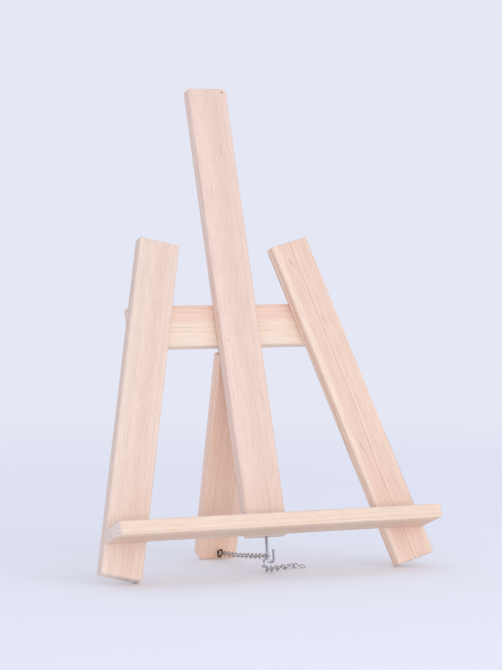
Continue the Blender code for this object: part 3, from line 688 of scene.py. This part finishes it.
def leaf_mesh(name, upper, matrix):
    """One hinge leaf with its knuckles, about the pin's axis."""
    sign = 1.0 if upper else -1.0
    turn = Matrix.Rotation(math.pi / 2, 4, "Y")
    plate_y = -KNUCKLE_R + 0.5 * LEAF_T
    plate = box_mesh(name, (LEAF_W, LEAF_T, LEAF_H), (0.0, plate_y, sign * 0.5 * LEAF_H))
    bm = bmesh.new()
    bm.from_mesh(plate)
    corners = [e for e in bm.edges if is_leaf_corner(e)]
    bmesh.ops.bevel(bm, geom=corners, offset=LEAF_CORNER_R, segments=6, profile=0.5, affect="EDGES")
    bm.to_mesh(plate)
    bm.free()
    notch = 2 * (KNUCKLE_R + 2 * GAP)
    room = KNUCKLE_W + 2 * GAP if upper else KNUCKLE_W
    tools = [("UNION", cylinder_mesh("barrel", KNUCKLE_R, LEAF_W, 64, turn), Matrix()),
             ("DIFFERENCE", cylinder_mesh("bore", PIN_BORE_R, 2 * LEAF_W, 48, turn), Matrix())]
    if upper:
        tools.append(("DIFFERENCE", box_mesh("notch", (room, notch, notch)), Matrix()))
    else:
        for end in (-1.0, 1.0):
            centre = (end * (0.5 * room + 0.5 * LEAF_W), 0.0, 0.0)
            tools.append(("DIFFERENCE", box_mesh("notch", (LEAF_W, notch, notch), centre), Matrix()))
    return carved(plate, tools + hole_tools(name, matrix), angle=30.0)


upper_leaf = leaf_mesh("hinge_leaf_upper", True, HUB_MATRIX)
add_piece("hinge_leaf_upper", upper_leaf, HUB_MATRIX, HINGE_STEEL, "frame")
lower_leaf = leaf_mesh("hinge_leaf_lower", False, PIVOT_MATRIX)
add_piece("hinge_leaf_lower", lower_leaf, PIVOT_MATRIX, HINGE_STEEL, "rear_leg")

half = 0.5 * LEAF_W + GAP
dome = [(0.0, half + PIN_HEAD_H), (0.7 * PIN_HEAD_R, half + 0.92 * PIN_HEAD_H),
        (PIN_HEAD_R, half + 0.5 * PIN_HEAD_H), (PIN_HEAD_R, half), (PIN_R, half)]
pin = turned("hinge_pin", dome + [(r, -z) for r, z in reversed(dome)], 40)
smooth(pin, 50.0)
pin_matrix = HUB_MATRIX @ Matrix.Rotation(math.pi / 2, 4, "Y")
add_piece("hinge_pin", pin, pin_matrix, PIN_STEEL, "frame")


# ---- wire: hook, eye and links ----

def arc(centre, radius, start, end, steps, across, up):
    angles = [start + (end - start) * i / steps for i in range(steps + 1)]
    return [centre + across * radius * math.cos(a) + up * radius * math.sin(a) for a in angles]


def wire_mesh(name, points, radius, closed, sides=4):
    """Round wire along a list of points."""
    curve = bpy.data.curves.new(name, "CURVE")
    curve.dimensions = "3D"
    curve.bevel_depth = radius
    curve.bevel_resolution = sides
    curve.use_fill_caps = not closed
    curve.twist_mode = "MINIMUM"
    spline = curve.splines.new("POLY")
    spline.points.add(len(points) - 1)
    for target, point in zip(spline.points, points):
        target.co = (*point, 1.0)
    spline.use_cyclic_u = closed
    obj = bpy.data.objects.new(name, curve)
    bpy.context.scene.collection.objects.link(obj)
    depsgraph = bpy.context.evaluated_depsgraph_get()
    depsgraph.update()
    mesh = bpy.data.meshes.new_from_object(obj.evaluated_get(depsgraph))
    bpy.data.objects.remove(obj, do_unlink=True)
    bpy.data.curves.remove(curve)
    bm = bmesh.new()
    bm.from_mesh(mesh)
    bmesh.ops.remove_doubles(bm, verts=bm.verts, dist=0.000005)
    bmesh.ops.recalc_face_normals(bm, faces=bm.faces)
    bm.to_mesh(mesh)
    bm.free()
    smooth(mesh, 60.0)
    return mesh


AXIS_X, AXIS_Y, AXIS_Z = Vector((1.0, 0.0, 0.0)), Vector((0.0, 1.0, 0.0)), Vector((0.0, 0.0, 1.0))

bend_centre = Vector((HOOK_BEND_R, 0.0, -HOOK_STEM))
hook_points = [Vector((0.0, 0.0, HOOK_SHANK)), Vector((0.0, 0.0, 0.0)), Vector((0.0, 0.0, -0.5 * HOOK_STEM))]
hook_points += arc(bend_centre, HOOK_BEND_R, math.pi, 2 * math.pi, 32, AXIS_X, AXIS_Z)
hook_points.append(bend_centre + AXIS_X * HOOK_BEND_R + AXIS_Z * HOOK_TIP)
hook = wire_mesh("screw_hook", hook_points, HOOK_WIRE_R, False, 10)
add_piece("screw_hook", hook, hook_matrix, HOOK_ZINC, "frame")

ring_points = arc(Vector(), EYE_RING_R, -math.pi + EYE_BEND, math.pi - EYE_MOUTH, 48, -AXIS_Y, AXIS_Z)
bend_start = Vector((0.0, EYE_STANDOFF + 0.0004, 0.0))
bend_corner = Vector((0.0, EYE_RING_R / math.cos(EYE_BEND), 0.0))
eye_points = [Vector((0.0, EYE_STANDOFF + EYE_SHANK, 0.0))]
for i in range(12):
    share = i / 12
    inward = bend_start.lerp(bend_corner, share)
    eye_points.append(inward.lerp(bend_corner.lerp(ring_points[0], share), share))
eye_points += ring_points
eye = wire_mesh("screw_eye", eye_points, EYE_WIRE_R, False, 8)
add_piece("screw_eye", eye, eye_matrix, EYE_ZINC, "rear_leg")


def link_points(open_end=False, steps=28):
    """Centre line of a link along X; the loop at -X is turned back and the one at +X forwards."""
    loop_x = LINK_HALF - LINK_LOOP_R
    quarter = math.radians(45)
    points = []
    for end in (1.0, -1.0):
        for i in range(steps + 1):
            angle = LINK_ARC * (2 * i / steps - 1)
            x = end * (loop_x + LINK_LOOP_R * math.cos(angle))
            side = end * LINK_LOOP_R * math.sin(angle)
            points.append(Vector((x, side * math.cos(quarter), end * side * math.sin(quarter))))
        points.append(Vector((0.0, end * LINK_WAIST, 0.0)))
    if open_end:
        middle = steps // 2
        gap = 3
        points = points[middle + gap:] + points[:middle - gap + 1]
    return points


def link_matrix(start, end, roll):
    along = (end - start).normalized()
    side = AXIS_Z.cross(along).normalized()
    basis = Matrix((along, side, along.cross(side))).transposed().to_4x4()
    return Matrix.Translation((start + end) / 2) @ basis @ Matrix.Rotation(roll, 4, "X")


def sagged(first, last, share):
    return first.lerp(last, share) - AXIS_Z * 4 * RUN_SAG * share * (1 - share)


eye_pin = eye_matrix @ Vector((0.0, -EYE_RING_R * math.cos(EYE_PULL), EYE_RING_R * math.sin(EYE_PULL)))
hook_stem = hook_matrix @ Vector((0.0, 0.0, -HOOK_STEM + STEM_RISE))
along = (hook_stem - eye_pin).normalized()
first = eye_pin - along * (EYE_WIRE_R + LINK_WIRE_R + GAP)
last = hook_stem + along * (HOOK_WIRE_R + LINK_WIRE_R + GAP)
span = (last - first).length
pitch = (span - CHAIN_OVERLAP) / RUN_LINKS
names = ["chain_%s_link_%d" % (half_run, i) for half_run in ("rear", "front") for i in range(1, 6)]
names.append("chain_hook_link")
bodies = ["chain_rear"] * 5 + ["chain_front"] * 5 + ["frame"]
links = []
for i, (name, body) in enumerate(zip(names, bodies)):
    shares = (pitch * i / span, (pitch * (i + 1) + CHAIN_OVERLAP) / span)
    station = [sagged(first, last, share) for share in shares]
    links.append((name, body, station, RUN_ROLL + RUN_TWIST * i / (RUN_LINKS - 1)))
start = hook_stem + Vector(TAIL_ROUTE[0])
names = ["chain_drop_link"] + ["chain_tail_link_%d" % i for i in range(1, 6)] + ["chain_end_link"]
bodies = ["frame"] + ["chain_tail"] * 6
for name, body, target, roll in zip(names, bodies, TAIL_ROUTE[1:], TAIL_ROLL):
    along = (hook_stem + Vector(target) - start).normalized()
    end = start + along * 2 * LINK_HALF
    links.append((name, body, (start, end), roll))
    start = end - along * CHAIN_OVERLAP
for name, body, station, roll in links:
    opened = name == "chain_end_link"
    mesh = wire_mesh(name, link_points(opened), FINE_WIRE_R, not opened)
    add_piece(name, mesh, link_matrix(*station, roll), CHAIN_STEEL, body)
